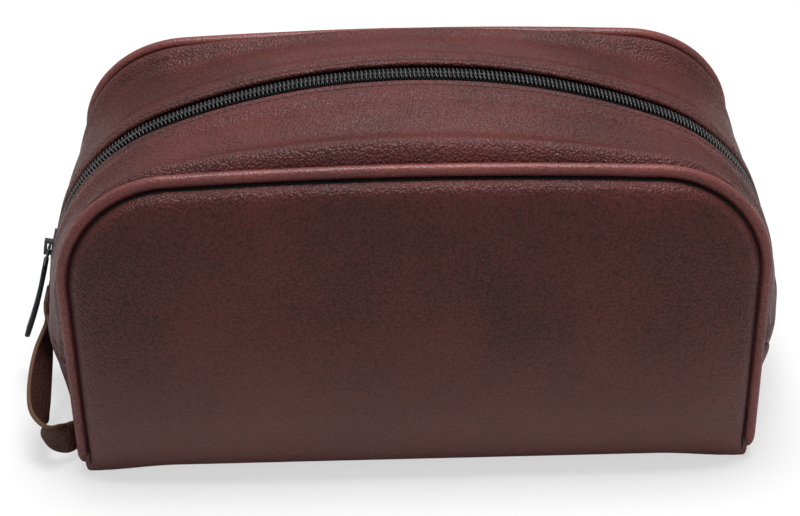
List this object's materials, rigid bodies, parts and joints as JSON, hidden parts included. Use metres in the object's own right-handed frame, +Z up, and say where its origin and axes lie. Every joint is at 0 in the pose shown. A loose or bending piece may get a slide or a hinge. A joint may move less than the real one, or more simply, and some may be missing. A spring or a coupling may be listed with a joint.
{
  "type": "toiletry bag",
  "caption": "Soft leather toiletry bag with piped front and back panels, a curved zip over the top, a hanging zip puller and a side wrist strap.",
  "frame": {"origin": "middle of the base, on the surface that the bag stands on", "axes": "+X to the right along the zip, +Y to the back panel, +Z up; the front panel faces -Y"},
  "size_m": [0.284, 0.1324, 0.1318],
  "materials": {
    "leather": "burgundy-brown pebble-grain leather, semi-matt with a soft sheen",
    "cord_filler": "white extruded piping cord",
    "foam": "thin padding foam",
    "board": "flexible base stiffener",
    "lining": "black woven nylon lining",
    "binding": "black woven binding tape",
    "zip_tape": "black herringbone zip tape",
    "zip_coil": "black nylon coil, slightly shiny",
    "zip_metal": "dark enamelled die-cast zinc",
    "tab_leather": "near-black smooth leather"
  },
  "bodies": {
    "bag": {"front_panel": "leather", "back_panel": "leather", "front_zip_gusset": "leather", "back_zip_gusset": "leather", "left_end_panel": "leather", "right_end_panel": "leather", "front_piping": "leather", "back_piping": "leather", "strap_anchor": "leather", "front_piping_cord": "cord_filler", "back_piping_cord": "cord_filler", "front_padding": "foam", "back_padding": "foam", "base_board": "board", "front_lining": "lining", "back_lining": "lining", "base_lining": "lining", "front_gusset_lining": "lining", "back_gusset_lining": "lining", "left_end_lining": "lining", "right_end_lining": "lining", "front_seam_binding": "binding", "back_seam_binding": "binding", "front_zip_tape": "zip_tape", "back_zip_tape": "zip_tape", "front_zip_coil": "zip_coil", "back_zip_coil": "zip_coil", "left_zip_stops": "zip_metal", "right_zip_stops": "zip_metal"},
    "slider": {"slider_body": "zip_metal", "slider_bridge": "zip_metal"},
    "link": {"puller_link": "zip_metal"},
    "tab": {"pull_tab": "tab_leather"},
    "strap": {"wrist_strap": "leather"}
  },
  "joints": [
    {"name": "slider_travel", "type": "hinge", "parent": "bag", "child": "slider", "pos_m": [-0.062, 0, 0.04717], "axis": [0, 1, 0], "range_deg": [0, 56]},
    {"name": "puller_swing", "type": "hinge", "parent": "slider", "child": "link", "pos_m": [-0.13542, 0, 0.06011], "axis": [0, 1, 0], "range_deg": [-5, 120]},
    {"name": "tab_swing", "type": "hinge", "parent": "link", "child": "tab", "pos_m": [-0.13764, 0, 0.05326], "axis": [0, 1, 0], "range_deg": [-12, 25]},
    {"name": "strap_swing", "type": "hinge", "parent": "bag", "child": "strap", "pos_m": [-0.13667, -0.012, 0.043], "axis": [0, 1, 0], "range_deg": [0, 95]}
  ]
}
